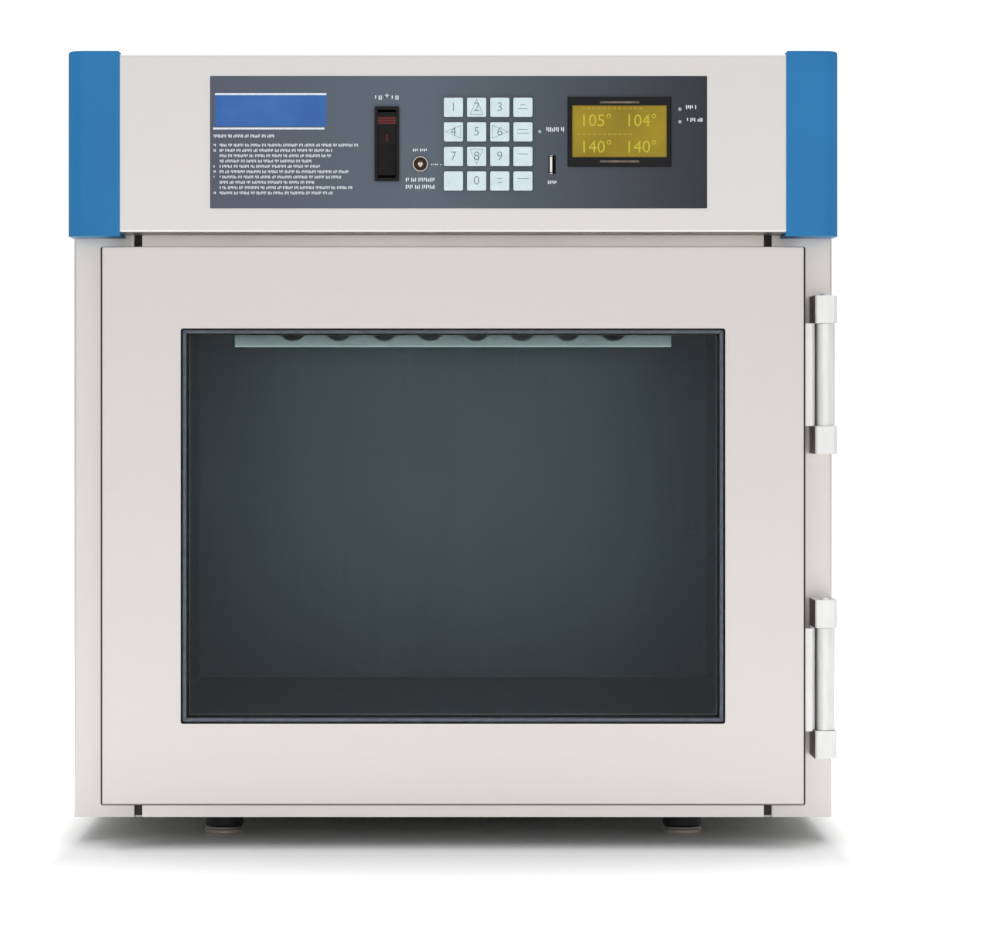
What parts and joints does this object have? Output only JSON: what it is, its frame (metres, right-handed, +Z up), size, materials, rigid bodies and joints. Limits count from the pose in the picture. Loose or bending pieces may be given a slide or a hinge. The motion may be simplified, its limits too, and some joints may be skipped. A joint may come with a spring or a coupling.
{
  "type": "blanket warming cabinet",
  "caption": "Counter-top steel warming cabinet with a right-hinged double-glazed door, a control hood with keypad and display, and levelling feet.",
  "frame": {"origin": "on the floor under the middle of the cabinet's overall box", "axes": "+Z up, +Y towards the back, so the door and controls face -Y, +X to the viewer's right"},
  "size_m": [0.6108, 0.56, 0.6319],
  "materials": {
    "satin_steel": "satin",
    "plain_steel": "satin",
    "polished_steel": "polished",
    "duct_steel": "satin",
    "mineral_wool": "matte",
    "heater_steel": "satin",
    "motor_paint": "satin",
    "wheel_aluminium": "satin",
    "bright_metal": "polished",
    "hinge_metal": "satin",
    "spacer_aluminium": "satin",
    "blue_plastic": "satin",
    "black_plastic": "satin",
    "keypad_black": "satin",
    "paddle_black": "gloss",
    "grey_overlay": "satin",
    "key_plastic": "satin",
    "amber_screen": "gloss",
    "lamp_lens": "gloss",
    "board_green": "satin",
    "foot_black": "satin",
    "black_rubber": "matte",
    "grey_rubber": "matte",
    "clear_glass": "gloss"
  },
  "bodies": {
    "cabinet": {"side_panel_left": "satin_steel", "side_panel_right": "satin_steel", "base_pan": "plain_steel", "back_panel": "plain_steel", "chamber_liner": "polished_steel", "breaker_strips": "black_plastic", "insulation_batts": "mineral_wool", "ceiling_duct": "duct_steel", "heater_element": "heater_steel", "blower_motor": "motor_paint", "temperature_probe": "bright_metal", "hood_base": "plain_steel", "hood_cover": "satin_steel", "hood_front": "satin_steel", "hood_back": "satin_steel", "corner_cap_left": "blue_plastic", "corner_cap_right": "blue_plastic", "control_overlay": "grey_overlay", "keypad_body": "keypad_black", "display_bezel": "black_plastic", "display_screen": "amber_screen", "rocker_housing": "black_plastic", "lock_body": "bright_metal", "usb_port": "bright_metal", "indicator_leds": "lamp_lens", "control_board": "board_green", "power_inlet": "black_plastic", "hinge_frame_leaves": "hinge_metal", "hinge_pins": "hinge_metal", "cabinet_screws": "bright_metal"},
    "door": {"door_skin": "satin_steel", "door_inner_pan": "satin_steel", "glass_panes": "clear_glass", "glass_spacer": "spacer_aluminium", "window_gasket": "black_rubber", "door_gasket": "grey_rubber", "hinge_door_leaves": "hinge_metal"},
    "blower": {"blower_wheel": "wheel_aluminium"},
    "power_rocker": {"rocker_paddle": "paddle_black"},
    "key_lock": {"lock_barrel": "bright_metal"},
    "key_1_1_cap": {"key_1_1": "key_plastic"},
    "key_1_2_cap": {"key_1_2": "key_plastic"},
    "key_1_3_cap": {"key_1_3": "key_plastic"},
    "key_1_4_cap": {"key_1_4": "key_plastic"},
    "key_2_1_cap": {"key_2_1": "key_plastic"},
    "key_2_2_cap": {"key_2_2": "key_plastic"},
    "key_2_3_cap": {"key_2_3": "key_plastic"},
    "key_2_4_cap": {"key_2_4": "key_plastic"},
    "key_3_1_cap": {"key_3_1": "key_plastic"},
    "key_3_2_cap": {"key_3_2": "key_plastic"},
    "key_3_3_cap": {"key_3_3": "key_plastic"},
    "key_3_4_cap": {"key_3_4": "key_plastic"},
    "key_4_1_cap": {"key_4_1": "key_plastic"},
    "key_4_2_cap": {"key_4_2": "key_plastic"},
    "key_4_3_cap": {"key_4_3": "key_plastic"},
    "key_4_4_cap": {"key_4_4": "key_plastic"},
    "levelling_foot_front_left_body": {"levelling_foot_front_left": "foot_black"},
    "levelling_foot_front_right_body": {"levelling_foot_front_right": "foot_black"},
    "levelling_foot_rear_left_body": {"levelling_foot_rear_left": "foot_black"},
    "levelling_foot_rear_right_body": {"levelling_foot_rear_right": "foot_black"}
  },
  "joints": [
    {"name": "door_hinge", "type": "hinge", "parent": "cabinet", "child": "door", "pos_m": [0.2958, -0.257, 0.2558], "axis": [0, 0, 1], "range_deg": [0, 175]},
    {"name": "blower_spin", "type": "hinge", "parent": "cabinet", "child": "blower", "pos_m": [0, 0.001, 0.43], "axis": [0, 0, 1], "continuous": true},
    {"name": "rocker_tilt", "type": "hinge", "parent": "cabinet", "child": "power_rocker", "pos_m": [-0.0522, -0.2722, 0.558], "axis": [1, 0, 0], "range_deg": [0, 8.6]},
    {"name": "lock_turn", "type": "hinge", "parent": "cabinet", "child": "key_lock", "pos_m": [-0.0258, -0.27, 0.5421], "axis": [0, -1, 0], "range_deg": [0, 90]},
    {"name": "key_1_1_press", "type": "slide", "parent": "cabinet", "child": "key_1_1_cap", "axis": [0, 1, 0], "range_m": [0, 0.001], "stiffness_N_per_m": 800, "springref_m": -0.0005},
    {"name": "key_1_2_press", "type": "slide", "parent": "cabinet", "child": "key_1_2_cap", "axis": [0, 1, 0], "range_m": [0, 0.001], "stiffness_N_per_m": 800, "springref_m": -0.0005},
    {"name": "key_1_3_press", "type": "slide", "parent": "cabinet", "child": "key_1_3_cap", "axis": [0, 1, 0], "range_m": [0, 0.001], "stiffness_N_per_m": 800, "springref_m": -0.0005},
    {"name": "key_1_4_press", "type": "slide", "parent": "cabinet", "child": "key_1_4_cap", "axis": [0, 1, 0], "range_m": [0, 0.001], "stiffness_N_per_m": 800, "springref_m": -0.0005},
    {"name": "key_2_1_press", "type": "slide", "parent": "cabinet", "child": "key_2_1_cap", "axis": [0, 1, 0], "range_m": [0, 0.001], "stiffness_N_per_m": 800, "springref_m": -0.0005},
    {"name": "key_2_2_press", "type": "slide", "parent": "cabinet", "child": "key_2_2_cap", "axis": [0, 1, 0], "range_m": [0, 0.001], "stiffness_N_per_m": 800, "springref_m": -0.0005},
    {"name": "key_2_3_press", "type": "slide", "parent": "cabinet", "child": "key_2_3_cap", "axis": [0, 1, 0], "range_m": [0, 0.001], "stiffness_N_per_m": 800, "springref_m": -0.0005},
    {"name": "key_2_4_press", "type": "slide", "parent": "cabinet", "child": "key_2_4_cap", "axis": [0, 1, 0], "range_m": [0, 0.001], "stiffness_N_per_m": 800, "springref_m": -0.0005},
    {"name": "key_3_1_press", "type": "slide", "parent": "cabinet", "child": "key_3_1_cap", "axis": [0, 1, 0], "range_m": [0, 0.001], "stiffness_N_per_m": 800, "springref_m": -0.0005},
    {"name": "key_3_2_press", "type": "slide", "parent": "cabinet", "child": "key_3_2_cap", "axis": [0, 1, 0], "range_m": [0, 0.001], "stiffness_N_per_m": 800, "springref_m": -0.0005},
    {"name": "key_3_3_press", "type": "slide", "parent": "cabinet", "child": "key_3_3_cap", "axis": [0, 1, 0], "range_m": [0, 0.001], "stiffness_N_per_m": 800, "springref_m": -0.0005},
    {"name": "key_3_4_press", "type": "slide", "parent": "cabinet", "child": "key_3_4_cap", "axis": [0, 1, 0], "range_m": [0, 0.001], "stiffness_N_per_m": 800, "springref_m": -0.0005},
    {"name": "key_4_1_press", "type": "slide", "parent": "cabinet", "child": "key_4_1_cap", "axis": [0, 1, 0], "range_m": [0, 0.001], "stiffness_N_per_m": 800, "springref_m": -0.0005},
    {"name": "key_4_2_press", "type": "slide", "parent": "cabinet", "child": "key_4_2_cap", "axis": [0, 1, 0], "range_m": [0, 0.001], "stiffness_N_per_m": 800, "springref_m": -0.0005},
    {"name": "key_4_3_press", "type": "slide", "parent": "cabinet", "child": "key_4_3_cap", "axis": [0, 1, 0], "range_m": [0, 0.001], "stiffness_N_per_m": 800, "springref_m": -0.0005},
    {"name": "key_4_4_press", "type": "slide", "parent": "cabinet", "child": "key_4_4_cap", "axis": [0, 1, 0], "range_m": [0, 0.001], "stiffness_N_per_m": 800, "springref_m": -0.0005},
    {"name": "levelling_foot_front_left_level", "type": "slide", "parent": "cabinet", "child": "levelling_foot_front_left_body", "axis": [0, 0, -1], "range_m": [0, 0.01]},
    {"name": "levelling_foot_front_right_level", "type": "slide", "parent": "cabinet", "child": "levelling_foot_front_right_body", "axis": [0, 0, -1], "range_m": [0, 0.01]},
    {"name": "levelling_foot_rear_left_level", "type": "slide", "parent": "cabinet", "child": "levelling_foot_rear_left_body", "axis": [0, 0, -1], "range_m": [0, 0.01]},
    {"name": "levelling_foot_rear_right_level", "type": "slide", "parent": "cabinet", "child": "levelling_foot_rear_right_body", "axis": [0, 0, -1], "range_m": [0, 0.01]}
  ]
}
